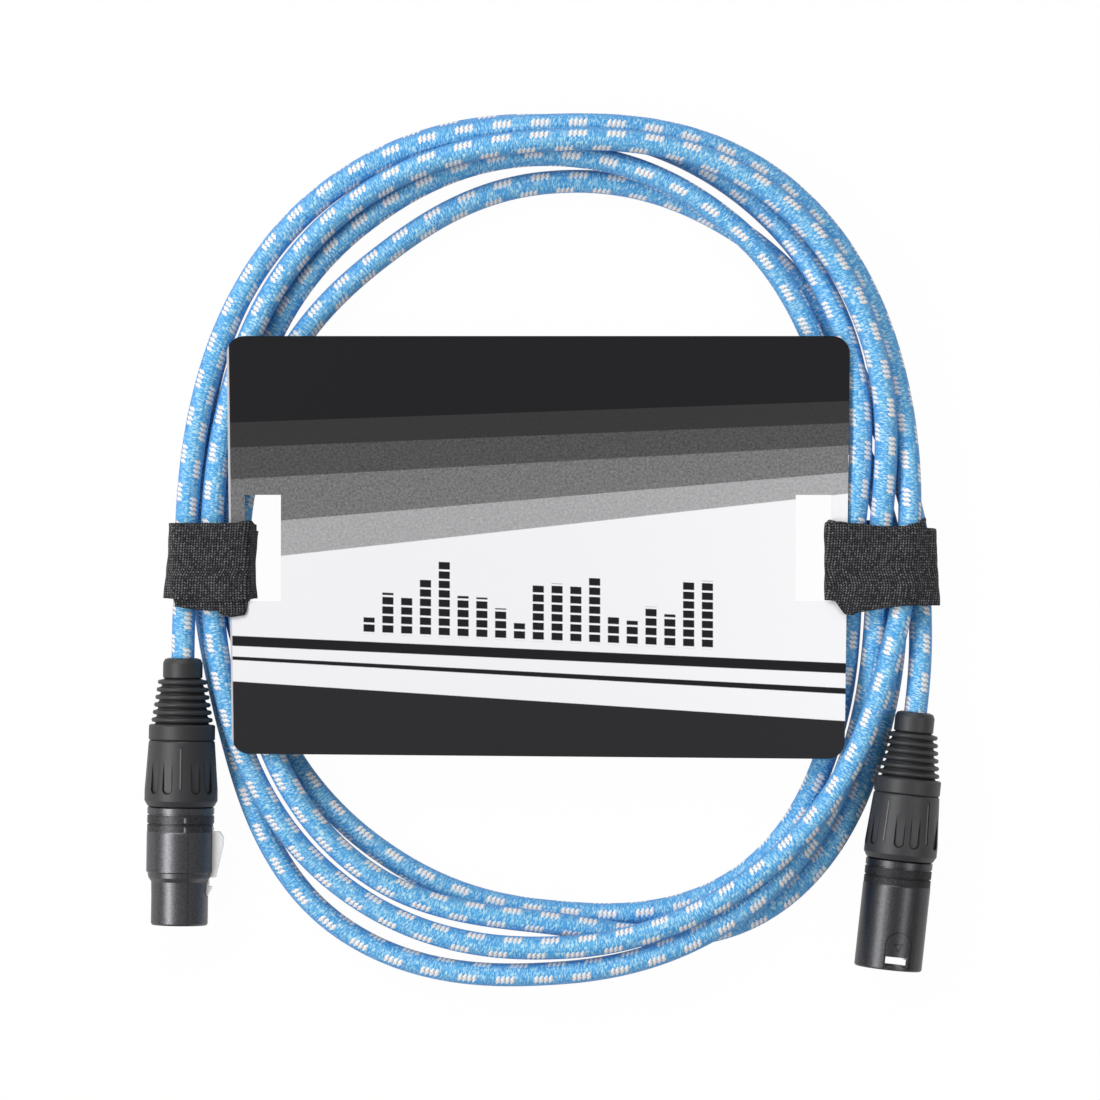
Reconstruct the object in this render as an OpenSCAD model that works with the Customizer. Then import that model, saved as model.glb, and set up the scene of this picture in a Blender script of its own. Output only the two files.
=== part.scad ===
// Three metre microphone cable, coiled and strapped to a retail card.
// The card lies level, +Z up; +Y runs up the card, and the origin is on
// the surface that everything lies on, under the middle of the coil.

/* [Cable] */
// Outer diameter of the braided cable
cable_d = 6.4; // [5.6:0.1:6.6]
// Width of the oval coil, to the middle of its outer lane
coil_w = 199.2; // [198:0.2:202]
// Height of the oval coil, to the middle of its outer lane
coil_h = 236.6; // [230:0.2:250]
// How square the oval is, where 2 is an ellipse
coil_square = 2.4; // [2.35:0.01:2.45]
// Step between two lanes of the coil
lane_step = 7; // [6.96:0.01:7.1]

/* [Card] */
// Width of the card along its top edge
card_top_w = 172.4; // [168:0.2:174]
// Width of the card along its bottom edge
card_bottom_w = 169.6; // [166:0.2:172]
// Height of the card
card_h = 117; // [90:1:125]
// How much higher the lower left corner is than the lower right one
card_lift = 1.4; // [0:0.1:3]
// Thickness of the card
card_t = 1; // [0.6:0.1:1.6]
// Radius of the card's corners
card_corner_r = 4.8; // [2:0.2:8]
// Width of a strap slot
slot_w = 10; // [8:0.2:14]
// Height of a strap slot
slot_h = 29.4; // [27:0.2:34]
// Width of card left between a slot and the card's side
slot_edge = 4.3; // [3.6:0.1:5]

/* [Straps] */
// Thickness of one layer of hook and loop tape
tape_t = 0.8; // [0.6:0.1:0.8]
// Width of the tape
tape_w = 21.7; // [16:0.1:23]
// How far the under layer shows past the top layer
tape_shift = 3.6; // [1:0.2:5]

/* [Plug body] */
// Outer diameter of both plug shells
shell_d = 18.8; // [18.4:0.1:19.4]
// Wall of a plug shell at its rear barrel
shell_wall = 1.4; // [1.2:0.1:1.6]
// Diameter of the threaded tail at the back of a shell
tail_d = 16; // [15.6:0.1:16.4]
// Length of the threaded tail
tail_len = 10; // [8:0.5:11]
// Height of the rings round a shell
ring_h = 0.3; // [0.2:0.05:0.4]

/* [Female plug] */
// Outer diameter of the nose
nose_d = 16; // [15.8:0.05:16.2]
// Length of the nose
nose_len = 12; // [11:0.5:13]
// Length of the female shell behind the nose
barrel_f_len = 20.9; // [20:0.1:23]
// Wall of the nose
nose_wall = 0.8; // [0.6:0.05:1]
// Bore of a socket contact
socket_d = 2.5; // [2.3:0.05:2.7]

/* [Male plug] */
// Length of the male shell in front of the nut
barrel_m_len = 30.4; // [28:0.2:34]
// Bore of the male shell at its mouth
mouth_d = 16.3; // [16.1:0.05:16.5]
// Depth of the mouth down to the insert
mouth_depth = 13.4; // [12:0.2:14]
// Diameter of a pin
pin_d = 2.4; // [2.2:0.05:2.6]
// How far the pins stop short of the mouth
pin_recess = 3; // [1:0.1:3.2]
// Radius of the circle that the three contacts stand on
contact_circle_r = 4.9; // [4.6:0.05:5]
// Width of the latch window
window_w = 6.4; // [5:0.2:7]
// Length of the latch window along the plug
window_len = 2.8; // [2:0.1:3.2]

/* [Latch] */
// Width of the latch lever
lever_w = 5; // [4:0.1:5.2]
// Thickness of the lever plate
lever_t = 1.2; // [1:0.05:1.3]
// Diameter of the pivot pin
pivot_d = 1.2; // [1:0.05:1.3]
// Height of the thumb tab above the shell
thumb_h = 2.6; // [1.5:0.1:3]
// Turns of the torsion spring on the pivot pin
spring_turns = 3; // [2:1:3]

/* [Nut and boot] */
// Largest diameter of the back nut
nut_d = 20.3; // [20:0.1:20.8]
// Length of the back nut
nut_len = 18.1; // [17:0.1:20]
// Pairs of finger grooves round the nut
groove_pairs = 5; // [4:1:6]
// Depth of a finger groove at its wide end
groove_depth = 0.65; // [0.3:0.05:0.8]
// Width of a finger groove
groove_w = 2.6; // [2:0.1:3]
// Diameter of the flange at the foot of the boot
flange_d = 18.4; // [18:0.1:19]
// Diameter of the collar at the top of the boot
collar_d = 11; // [10.6:0.1:11.2]
// Length of the collar
collar_len = 5.4; // [4:0.1:6]
// Ribs on the boot
rib_count = 6; // [3:1:6]
// Step from one rib to the next
rib_step = 2.1; // [1.9:0.05:2.1]
// Gap all round between the boot and the cable
boot_gap = 0.25; // [0.15:0.05:0.4]
// Length of cable that each shell's tail takes in
cable_grip_len = 7; // [6:0.5:8]

/* [Hidden] */
$fn = 48;

// ---- places, all measured from the middle of the oval ----
oval_x = 2;
r_cable = cable_d / 2;
base_z = r_cable + 0.05;
// where each boot's top end is, and how each plug leans
female_at = [-102, -30];
female_lean = -0.8;
male_at = [101.5, -45];
male_lean = -6.2;
// the male plug lies rolled a little on its side
male_roll = -10;
axis_z = nut_d / 2;

// ---- lengths along a plug, from the boot's top end ----
boot_len = 22.9;
flange_len = 4.4;
neck_len = 2.8;
neck_d = 14;
nut_z = boot_len + 0.1;
shell_z = nut_z + nut_len + 0.1;
tail_z = shell_z - tail_len;
cable_end = tail_z + cable_grip_len;
fit = 0.1;
shoulder_len = 2.8;
nose_z = shell_z + barrel_f_len;
front_f = nose_z + nose_len;
front_m = shell_z + barrel_m_len;
floor_m = front_m - mouth_depth;
bore_rear_d = shell_d - 2 * shell_wall;
insert_back = 8;

// ---- the coil: lanes and layers at round stations ----
// Half turns in the order the cable runs. Each row holds how many
// lanes it lies inside the outer lane, every 30 degrees from the left
// strap to the right one, and how many layers it lies up.
// Odd rows run back from the right strap to the left.
station = 30;
LANES = [
    [-0.2, 0, 0.2, 0.05, -0.3, -0.2, 0.05],
    [0.8, 0.95, 1.2, 1.15, 1.65, 0.95, 0.05],
    [0.8, 1.05, 1.15, 0.7, 0.3, 0.4, 1.2],
    [0.3, 0.66, -0.2, 0.1, 0.85, 1.15, 1.2],
    [0.3, 0, 0.1, 0, 0.9, 1.4, 2.25],
    [1.3, 2.4, 3.2, 2.5, 1.85, 2.15, 2.25],
    [1.3, 1.75, 1.95, 1.2, 2.2, 2.4, 0.65],
    [1.85, 2.05, 2.25, 2.1, 0.25, 0.3, 0.65],
    [1.85, 2.6, 3.45, 2.25, 2.2, 1.3, -0.45]];
LAYERS = [
    [1.28, 1.15, 1, 1.1, 0.78, 1, 1.35],
    [1.25, 1.05, 1, 1.65, 1.9, 1.8, 1.35],
    [1.25, 1.1, 1.35, 1.9, 1.6, 1.85, 1.35],
    [0.36, 0.06, 0.2, 1.15, 1.25, 0.65, 1.35],
    [0.36, 0.12, 0, 0, 0.24, 1.36, 1.35],
    [0.3, 0.12, 0, 0, 0, 0.1, 1.35],
    [0.3, 0.12, 0.6, 0.9, 1.12, 0.48, 0.36],
    [1.25, 1.12, 1, 1, 0, 0.06, 0.36],
    [1.25, 0.7, 0, 0, 0, 0.1, 0.3]];
halves = len(LANES);
per_half = 180 / station;
stations = halves * per_half;
rings_per_loop = 24;

// value of a table at whole station k, counted along the cable
function row(k) = min(halves - 1, floor(k / per_half));
function col(k) = let (q = k - row(k) * per_half)
    row(k) % 2 == 0 ? q : per_half - q;
function held(t, k) = let (c = max(0, min(stations, k)))
    t[row(c)][col(c)];
// smooth curve through the four nearest stations
function smooth(a, b, c, d, t) = 0.5 * (2 * b + (c - a) * t
    + (2 * a - 5 * b + 4 * c - d) * t * t
    + (3 * b - a - 3 * c + d) * t * t * t);
function along(tab, u) = let (k = min(stations - 1, floor(u + 1e-6)))
    smooth(held(tab, k - 1), held(tab, k), held(tab, k + 1),
        held(tab, k + 2), u - k);
function oval_r(a) = pow(
    pow(abs(cos(a)) / (coil_w / 2), coil_square)
    + pow(abs(sin(a)) / (coil_h / 2), coil_square),
    -1 / coil_square);
// middle of the cable at station u, clockwise from the left strap
function coil_at(u) = let (
    a = 180 - u * station,
    r = oval_r(a) - along(LANES, u) * lane_step)
    [r * cos(a), r * sin(a),
        base_z + max(0, along(LAYERS, u)) * lane_step];

// a point z along a plug's axis, from the boot's top end
function on_axis(at, lean, z) =
    [at[0] + z * sin(lean), at[1] - z * cos(lean), axis_z];
// easy bend from point a, leaving along da, to b, arriving along db
function bend(a, da, b, db, t) =
    a * pow(1 - t, 3) + (a + da) * 3 * t * pow(1 - t, 2)
    + (b - db) * 3 * t * t * (1 - t) + b * pow(t, 3);
straight_out = 4;
lead_f0 = on_axis(female_at, female_lean, -straight_out);
lead_m0 = on_axis(male_at, male_lean, -straight_out);
dir_f = [-sin(female_lean), cos(female_lean), 0];
dir_m = [sin(male_lean), -cos(male_lean), 0];
coil_first = coil_at(0);
coil_last = coil_at(stations);
reach_f = 0.4 * norm(coil_first - lead_f0);
reach_m = 0.4 * norm(coil_last - lead_m0);
CABLE_LINE = concat(
    [on_axis(female_at, female_lean, cable_end),
        on_axis(female_at, female_lean, cable_end / 2),
        on_axis(female_at, female_lean, 0), lead_f0],
    [for (t = [0.25, 0.5, 0.75]) bend(lead_f0, dir_f * reach_f,
        coil_first, [0, 1, 0] * reach_f, t)],
    [for (i = [0 : halves * rings_per_loop / 2])
        coil_at(i * 360 / rings_per_loop / station)],
    [for (t = [0.2, 0.4, 0.6, 0.8]) bend(coil_last,
        [0, -1, 0] * reach_m, lead_m0, dir_m * reach_m, t)],
    [lead_m0, on_axis(male_at, male_lean, 0),
        on_axis(male_at, male_lean, cable_end / 2),
        on_axis(male_at, male_lean, cable_end)]);

// ---- a tube swept along points, its rings square to the line ----
function unit(v) = v / norm(v);
function way(p, i) = unit(unit(p[min(len(p) - 1, i + 1)] - p[i]
    + (i == len(p) - 1 ? p[i] - p[i - 1] : [0, 0, 0]))
    + unit(p[i] - p[max(0, i - 1)]
    + (i == 0 ? p[1] - p[0] : [0, 0, 0])));
// the rings' first corner points level, or along a fixed line
module tube(p, r, sides, aside = []) {
    n = len(p);
    pts = [for (i = [0 : n - 1])
        let (w = way(p, i),
            s = aside == [] ? unit(cross(w, [0, 0, 1])) : aside,
            v = cross(s, w))
        for (j = [0 : sides - 1])
            p[i] + r * (s * cos(j * 360 / sides)
                + v * sin(j * 360 / sides))];
    side_faces = [for (i = [0 : n - 2]) for (j = [0 : sides - 1])
        let (a = i * sides + j, b = i * sides + (j + 1) % sides)
        each [[a, b, b + sides], [a, b + sides, a + sides]]];
    end_faces = [for (j = [1 : sides - 2])
        each [[0, j + 1, j],
            [(n - 1) * sides, (n - 1) * sides + j,
                (n - 1) * sides + j + 1]]];
    polyhedron(pts, concat(side_faces, end_faces), convexity = 10);
}

// ---- length of the cable, and its least gap to itself ----
function total(v, i = 0, s = 0) =
    i == len(v) ? s : total(v, i + 1, s + v[i]);
n_line = len(CABLE_LINE);
runs = [for (i = [0 : n_line - 2])
    norm(CABLE_LINE[i + 1] - CABLE_LINE[i])];
far_stations = 4;
function off_run(q, a, b) = let (
    t = max(0, min(1, ((q - a) * (b - a)) / ((b - a) * (b - a)))))
    norm(q - a - (b - a) * t);
gaps = [for (i = [0 : n_line - 2]) for (k = [0 : 3])
    let (q = CABLE_LINE[i]
        + (CABLE_LINE[i + 1] - CABLE_LINE[i]) * k / 4)
    for (j = [i + far_stations : n_line - 2])
        off_run(q, CABLE_LINE[j], CABLE_LINE[j + 1]) - cable_d];
union() {  // cable
    echo(cable_length = total(runs));
    echo(least_gap_of_cable_to_itself = min(gaps));
}

// ---- placing things ----
module from_oval() { translate([oval_x, 0, 0]) children(); }
module on_plug(at, lean) {
    from_oval() translate([at[0], at[1], axis_z])
        rotate([0, 0, lean]) rotate([90, 0, 0]) children();
}
module female() { on_plug(female_at, female_lean) children(); }
module male() { on_plug(male_at, male_lean) children(); }
module turned(points) { rotate_extrude($fn = 96) polygon(points); }

// ================= the cable =================
module cable() {
    color("steelblue") from_oval() tube(CABLE_LINE, r_cable, 6);
}

// ================= card =================
// Straight up from the bundles that the straps hold.
card_z = base_z + LAYERS[0][per_half] * lane_step + r_cable + 0.35;
card_x = -1.3;
card_y = 0.7;
function side_x(y) = (card_bottom_w / 2)
    + (card_top_w - card_bottom_w) / 2 * (y + card_h / 2) / card_h;
function corner(x, y, a) = [for (k = [0 : 6])
    [x + card_corner_r * cos(a + k * 15),
        y + card_corner_r * sin(a + k * 15)]];
slot_x = side_x(0) - slot_edge - slot_w / 2;
slot_y = -0.15;
module card() {
    yy = card_h / 2 - card_corner_r;
    xt = side_x(card_h / 2) - card_corner_r;
    xb = side_x(-card_h / 2) - card_corner_r;
    color("whitesmoke") translate([card_x, card_y, card_z])
        linear_extrude(card_t) difference() {
            polygon(concat(corner(xt, yy, 0), corner(-xt, yy, 90),
                corner(-xb, card_lift - yy, 180), corner(xb, -yy, 270)));
            for (s = [-1, 1]) translate([s * slot_x, slot_y])
                square([slot_w, slot_h], center = true);
        }
}

// ================= straps =================
// Each strap is two layers of tape round the bundle and round the
// narrow strip of card beside the slot, with a short tail.
hold = 0.15;
strap_y1 = 8.1;
strap_top = card_z + card_t + hold;
foot_w = 10;
// where the strands cross the strap, along the cable's straight runs
ring_step = 360 / rings_per_loop / station;
function run_at(u) = let (i = floor(u / ring_step + 1e-6),
    t = u / ring_step - i)
    coil_at(i * ring_step) * (1 - t) + coil_at((i + 1) * ring_step) * t;
function in_strap(k, s) = run_at(k * per_half
    + (k % 2 == 0 ? s / station : per_half - s / station));
top_turn = asin(strap_y1 / (coil_w / 2)) + 0.5;
low_turn = asin((tape_w + tape_shift - strap_y1) / (coil_w / 2)) + 1;
LEFT_BUNDLE = concat(
    [for (k = [0 : halves - 1])
        for (s = [0, k % 2 == 0 ? top_turn : low_turn]) in_strap(k, s)],
    [for (t = [0.3, 0.6]) bend(lead_f0, dir_f * reach_f,
        coil_first, [0, 1, 0] * reach_f, t)]);
RIGHT_BUNDLE = concat(
    [for (k = [0 : halves - 1])
        for (s = [180, 180 - (k % 2 == 0 ? top_turn : low_turn)])
            in_strap(k, s)],
    [for (t = [0.2, 0.4]) bend(coil_last,
        [0, -1, 0] * reach_m, lead_m0, dir_m * reach_m, t)]);
// side is -1 for the left strap and 1 for the right one
function strip_x(side) = card_x - oval_x + side * (slot_x + slot_w / 2);
module held_shape(bundle, side) {
    hull() {
        for (q = bundle)
            translate([q[0], q[2]]) circle(r_cable + hold, $fn = 32);
        // the strip of card beside the slot, and its outer corner
        for (x = [strip_x(side) - side * 0.2,
                card_x - oval_x + side * side_x(strap_y1)])
            translate([x, strap_top - 1]) circle(1, $fn = 24);
        // both layers lie flat on the surface below
        translate([(bundle[0][0] + bundle[8][0]) / 2, 2 * tape_t + 1])
            square([foot_w, 2], center = true);
    }
}
module tape(bundle, side, inner, y0, y1) {
    translate([0, y1, 0]) rotate([90, 0, 0])
        linear_extrude(y1 - y0) difference() {
            offset(r = inner + tape_t, $fn = 48)
                held_shape(bundle, side);
            offset(r = inner, $fn = 48) held_shape(bundle, side);
        }
}
module strap(bundle, side) {
    slot_end_y = card_y + slot_y - slot_h / 2;
    tape_end_y = strap_y1 - tape_w - tape_shift;
    half = side_x(slot_end_y) + hold;
    color("#26262a") from_oval() {
        tape(bundle, side, tape_t, strap_y1 - tape_w, strap_y1);
        // past the slot's end the under layer stays on top of the card
        difference() {
            tape(bundle, side, 0, tape_end_y, strap_y1 - tape_shift / 2);
            translate([card_x - oval_x + (side - 1) / 2 * half,
                tape_end_y - 1, -1])
                cube([half, slot_end_y + hold - tape_end_y + 1,
                    strap_top - hold / 2 + 1]);
        }
    }
}
module strap_left() { strap(LEFT_BUNDLE, -1); }
module strap_right() { strap(RIGHT_BUNDLE, 1); }

// ================= boot and back nut =================
collar_r = collar_d / 2;
rib_first = collar_len + 0.7;
rib_last = rib_first + (rib_count - 1) * rib_step;
flange_z = boot_len - flange_len;
function rib_r(z) = 6.9 + 1.9 * (z - rib_first) / (flange_z - rib_first);
function rib(z) = [[rib_r(z) - 1.2, z - 0.15],
    [rib_r(z) - 0.25, z + 0.05], [rib_r(z), z + 0.45],
    [rib_r(z), z + 0.75], [rib_r(z) - 0.25, z + 1.15],
    [rib_r(z) - 1.2, z + 1.35]];
module boot() {
    bore = r_cable + boot_gap;
    color("#1e1e22") turned(concat(
        [[bore, 0], [collar_r - 1.5, 0], [collar_r - 0.5, 0.35],
            [collar_r, 1.4], [collar_r, collar_len],
            [collar_r - 0.5, collar_len + 0.3]],
        [for (i = [0 : rib_count - 1]) each rib(rib_first + i * rib_step)],
        [[flange_d / 2 - 1.4, flange_z], [flange_d / 2 - 0.3, flange_z],
            [flange_d / 2, flange_z + 0.4],
            [flange_d / 2, boot_len - 0.4],
            [flange_d / 2 - 0.4, boot_len], [neck_d / 2, boot_len],
            [neck_d / 2, boot_len + neck_len],
            [bore, boot_len + neck_len]]));
}
nut_bore_d = tail_d + 2 * fit;
module nut(turn) {
    nut_slope = atan((nut_d - flange_d) / 2 / (0.75 * nut_len));
    groove_end = 0.8 * nut_len - groove_w / 2;
    color("#202024") rotate([0, 0, turn]) difference() {
        turned([[neck_d / 2 + fit, nut_z], [flange_d / 2 - 0.2, nut_z],
            [flange_d / 2, nut_z + 0.4],
            [nut_d / 2, nut_z + 0.75 * nut_len],
            [nut_d / 2, nut_z + nut_len - 1.5],
            [nut_d / 2 - 0.9, nut_z + nut_len],
            [nut_bore_d / 2, nut_z + nut_len],
            [nut_bore_d / 2, nut_z + neck_len + 2.2],
            [neck_d / 2 + fit, nut_z + neck_len + 1.2]]);
        for (i = [0 : groove_pairs - 1])
            rotate([0, 0, i * 360 / groove_pairs]) {
                // a pair of finger grooves that run out to the boot
                for (s = [-1, 1]) rotate([0, 0, s * 12.5])
                    translate([nut_d / 2 - groove_depth, 0, nut_z])
                        rotate([90, 0, 90]) linear_extrude(3) union() {
                            translate([-groove_w / 2, 2])
                                square([groove_w, groove_end - 2]);
                            translate([0, groove_end])
                                circle(d = groove_w, $fn = 32);
                        }
                // a fine crease from one pair to the next
                rotate([0, 0, 180 / groove_pairs])
                    translate([flange_d / 2 - 0.25, -0.2, nut_z])
                        rotate([0, nut_slope, 0])
                            translate([0, 0, 1.5])
                                cube([2, 0.4, 0.65 * nut_len]);
            }
    }
}

// ================= chuck =================
// Four springy jaws that the nut closes on the cable.
chuck_z = nut_z + neck_len + 2.4;
slit_len = 5;
slit_w = 0.8;
module chuck() {
    chuck_r = tail_d / 2 - shell_wall - fit;
    color("#d8d8d2") difference() {
        turned([[r_cable + fit, chuck_z], [chuck_r - 1.4, chuck_z],
            [chuck_r, chuck_z + 2.5], [chuck_r, cable_end],
            [r_cable + fit, cable_end]]);
        for (a = [0, 90]) rotate([0, 0, a + 45])
            translate([-shell_d, -slit_w / 2, chuck_z - 1])
                cube([2 * shell_d, slit_w, slit_len + 1]);
    }
}

// ================= shells =================
// Outline shared by both: a tail for the nut, a rear band and rings.
tail_r = tail_d / 2;
shell_r = shell_d / 2;
function rear_rings(z) = [
    [shell_r - 0.5, z], [shell_r - 0.1, z + 0.4],
    [shell_r - 0.1, z + 2], [shell_r - 0.1 - ring_h, z + 2.1],
    [shell_r - 0.1 - ring_h, z + 2.4], [shell_r - 0.1, z + 2.5],
    [shell_r - 0.1, z + 4.6], [shell_r - 0.1 - ring_h, z + 4.7],
    [shell_r - 0.1 - ring_h, z + 5], [shell_r - 0.1, z + 5.1],
    [shell_r - 0.1, z + 7], [shell_r, z + 7.3]];
bore_r = bore_rear_d / 2;
nose_r = nose_d / 2;
// the nose is a little slimmer in front of the latch hook
nose_ease = 0.1;
nose_taper = 4;
slot_half = lever_w / 2 + 0.2;
pivot_x = 7.9;
pivot_z = shell_z + 6.3;
slot_z = pivot_z - 1.4;
hook_z = nose_z + 1.2;
hook_len = 2.3;
slot_end = hook_z + hook_len + 0.4;
module female_shell() {
    color("#141416") female() difference() {
        turned(concat(
            [[tail_r - shell_wall, tail_z], [tail_r - 0.4, tail_z],
                [tail_r, tail_z + 0.6], [tail_r, shell_z],
                [shell_r - 0.8, shell_z]],
            rear_rings(shell_z),
            [[shell_r, nose_z - shoulder_len],
                [shell_r - 0.4, nose_z - shoulder_len + 0.3],
                [shell_r - 0.6, nose_z - 1.2],
                [nose_r, nose_z],
                [nose_r - nose_ease, nose_z + nose_taper],
                [nose_r - nose_ease, front_f - 0.5],
                [nose_r - 0.4, front_f], [nose_r - nose_wall, front_f],
                [nose_r - nose_wall, nose_z - 1.2],
                [bore_r, nose_z - 2],
                [bore_r, shell_z + 3.2],
                [tail_r - shell_wall, shell_z + 1.6]]));
        // slot for the latch lever
        translate([nose_r - 1.6, -slot_half, slot_z])
            cube([6, 2 * slot_half, slot_end - slot_z]);
        // holes for the pivot pin
        translate([pivot_x, 0, pivot_z]) rotate([90, 0, 0])
            cylinder(d = pivot_d + 0.04, h = 7.6, center = true,
                $fn = 32);
        // two short marks between the rings
        for (m = [[2.9, 1.4], [5.5, 1.4]])
            translate([1.7, shell_r - 0.55, shell_z + m[0]])
                cube([0.5, 1, m[1]]);
    }
}
module male_shell() {
    window_z = front_m - 1 - window_len;
    color("#141416") male() rotate([0, 0, male_roll]) difference() {
        union() {
            turned(concat(
                [[tail_r - shell_wall, tail_z], [tail_r - 0.4, tail_z],
                    [tail_r, tail_z + 0.6], [tail_r, shell_z],
                    [shell_r - 0.8, shell_z]],
                rear_rings(shell_z),
                [[shell_r, front_m - 0.4], [shell_r - 0.4, front_m],
                    [mouth_d / 2, front_m],
                    [mouth_d / 2, floor_m - insert_back],
                    [bore_r, floor_m - insert_back - 0.3],
                    [bore_r, shell_z + 3.2],
                    [tail_r - shell_wall, shell_z + 1.6]]));
            // raised arch round the latch window
            intersection() {
                difference() {
                    translate([0, 0, front_m - 10.5])
                        cylinder(r = shell_r + 0.45, h = 10.2, $fn = 96);
                    translate([0, 0, front_m - 11])
                        cylinder(r = shell_r - 0.2, h = 12, $fn = 96);
                }
                rotate([-90, 0, 0]) translate([0, -front_m, 0])
                    linear_extrude(20) union() {
                        translate([-3.5, 0]) square([7, 7]);
                        translate([0, 7]) circle(3.5, $fn = 32);
                    }
            }
        }
        // latch window, and an opening right under it
        translate([-window_w / 2, 0, window_z])
            cube([window_w, shell_d, window_len]);
        rotate([0, 0, -male_roll])
            translate([-shell_r * sin(male_roll) - window_w / 2 - 0.4,
                -shell_d, window_z - 0.2])
                cube([window_w + 0.8, shell_d, window_len + 0.4]);
    }
}

// ================= inserts and contacts =================
// Contacts 1 and 2 stand on either side of the latch, 3 is opposite,
// and the sockets mirror the pins, so that like numbers meet.
key_f = 0;
key_m = 90;
function contact_angle(i, key) =
    key + (key == key_f ? -1 : 1) * [55, -55, 180][i];
function contact_at(i, key) = contact_circle_r
    * [cos(contact_angle(i, key)), sin(contact_angle(i, key))];
contact_r = socket_d / 2 + 0.5;
cup_wall = 0.35;
insert_f_z = shell_z + 9;
cup_len = 3.6;
module female_insert() {
    r1 = bore_r - fit;
    r2 = nose_r - nose_wall - fit;
    color("#2b2b30") female() difference() {
        turned([[0, insert_f_z], [r1, insert_f_z],
            [r1, nose_z - 2.2], [r2, nose_z - 1.3],
            [r2, front_f - 0.3], [r2 - 0.3, front_f],
            [0, front_f]]);
        for (i = [0 : 2]) translate(contact_at(i, key_f)) {
            translate([0, 0, insert_f_z - 1])
                cylinder(r = contact_r + fit,
                    h = front_f - 1.2 - insert_f_z + 1, $fn = 32);
            translate([0, 0, front_f - 2])
                cylinder(d = socket_d + 0.4, h = 4, $fn = 32);
        }
        // room for the latch lever to swing in
        translate([r2 - 2.2, -slot_half, insert_f_z - 1])
            cube([4, 2 * slot_half, slot_end - insert_f_z + 1]);
    }
}
module female_contact(i) {
    z0 = insert_f_z - cup_len;
    color("#c9a548") female() translate(contact_at(i, key_f))
        difference() {
        translate([0, 0, z0])
            cylinder(r = contact_r, h = front_f - 1.3 - z0, $fn = 32);
        translate([0, 0, front_f - 12.4])
            cylinder(d = socket_d, h = 14, $fn = 32);
        translate([0, 0, z0 - 1])
            cylinder(r = contact_r - cup_wall, h = cup_len + 0.4,
                $fn = 24);
        // solder cup, open on its outer side
        rotate([0, 0, contact_angle(i, key_f)])
            translate([0.5, -2, z0 - 1]) cube([3, 4, cup_len - 0.4]);
    }
}
// A pin is thicker where the insert holds it, in two steps.
pin_root_d = pin_d + 0.7;
pin_neck_d = pin_d + 0.4;
lip = 1;
module male_insert() {
    color("#2b2b30") male() rotate([0, 0, male_roll]) difference() {
        translate([0, 0, floor_m - insert_back + 0.1])
            cylinder(r = mouth_d / 2 - fit, h = insert_back - 0.1,
                $fn = 96);
        for (i = [0 : 2]) translate(contact_at(i, key_m)) {
            translate([0, 0, floor_m - insert_back - 1])
                cylinder(d = pin_neck_d + 2 * fit, h = insert_back + 2,
                    $fn = 32);
            translate([0, 0, floor_m - insert_back - 1])
                cylinder(d = pin_root_d + 2 * fit,
                    h = insert_back + 1 - lip, $fn = 32);
        }
    }
}
module male_pin(i) {
    z0 = floor_m - insert_back - cup_len;
    tip = front_m - pin_recess;
    color("#d9dadc") male() rotate([0, 0, male_roll])
        translate(contact_at(i, key_m)) difference() {
            union() {
                translate([0, 0, z0]) cylinder(r = contact_r,
                    h = cup_len - 0.1, $fn = 32);
                translate([0, 0, z0]) cylinder(d = pin_root_d,
                    h = floor_m - lip - fit - z0, $fn = 32);
                translate([0, 0, z0]) cylinder(d = pin_neck_d,
                    h = floor_m + fit - z0, $fn = 32);
                translate([0, 0, z0])
                    cylinder(d = pin_d, h = tip - z0 - 0.6, $fn = 32);
                translate([0, 0, tip - 0.6])
                    cylinder(d1 = pin_d, d2 = pin_d - 0.9, h = 0.6,
                        $fn = 32);
            }
            translate([0, 0, z0 - 1])
                cylinder(r = contact_r - cup_wall, h = cup_len + 0.2,
                    $fn = 24);
            rotate([0, 0, contact_angle(i, key_m)])
                translate([0.5, -2, z0 - 1]) cube([3, 4, cup_len - 0.6]);
        }
}

// ================= cores =================
// Each runs from the cut end of the cable into its solder cup.
core_d = 1.5;
core_out = 1.5;
function core_line(i, key, cup_z) = let (c = contact_at(i, key),
    a = contact_angle(i, key), d = [cos(a), sin(a)] * core_out)
    [[d[0], d[1], cable_end], [d[0], d[1], cable_end + 1.5],
        [c[0], c[1], cup_z - 1], [c[0], c[1], cup_z + 2]];
module core(i, key, cup_z) {
    a = contact_angle(i, key);
    color(["firebrick", "gainsboro", "#b87333"][i])
        tube(core_line(i, key, cup_z), core_d / 2, 8,
            [-sin(a), cos(a), 0]);
}
module female_core(i) {
    female() core(i, key_f, insert_f_z - cup_len);
}
module male_core(i) {
    male() rotate([0, 0, male_roll])
        core(i, key_m, floor_m - insert_back - cup_len);
}

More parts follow.
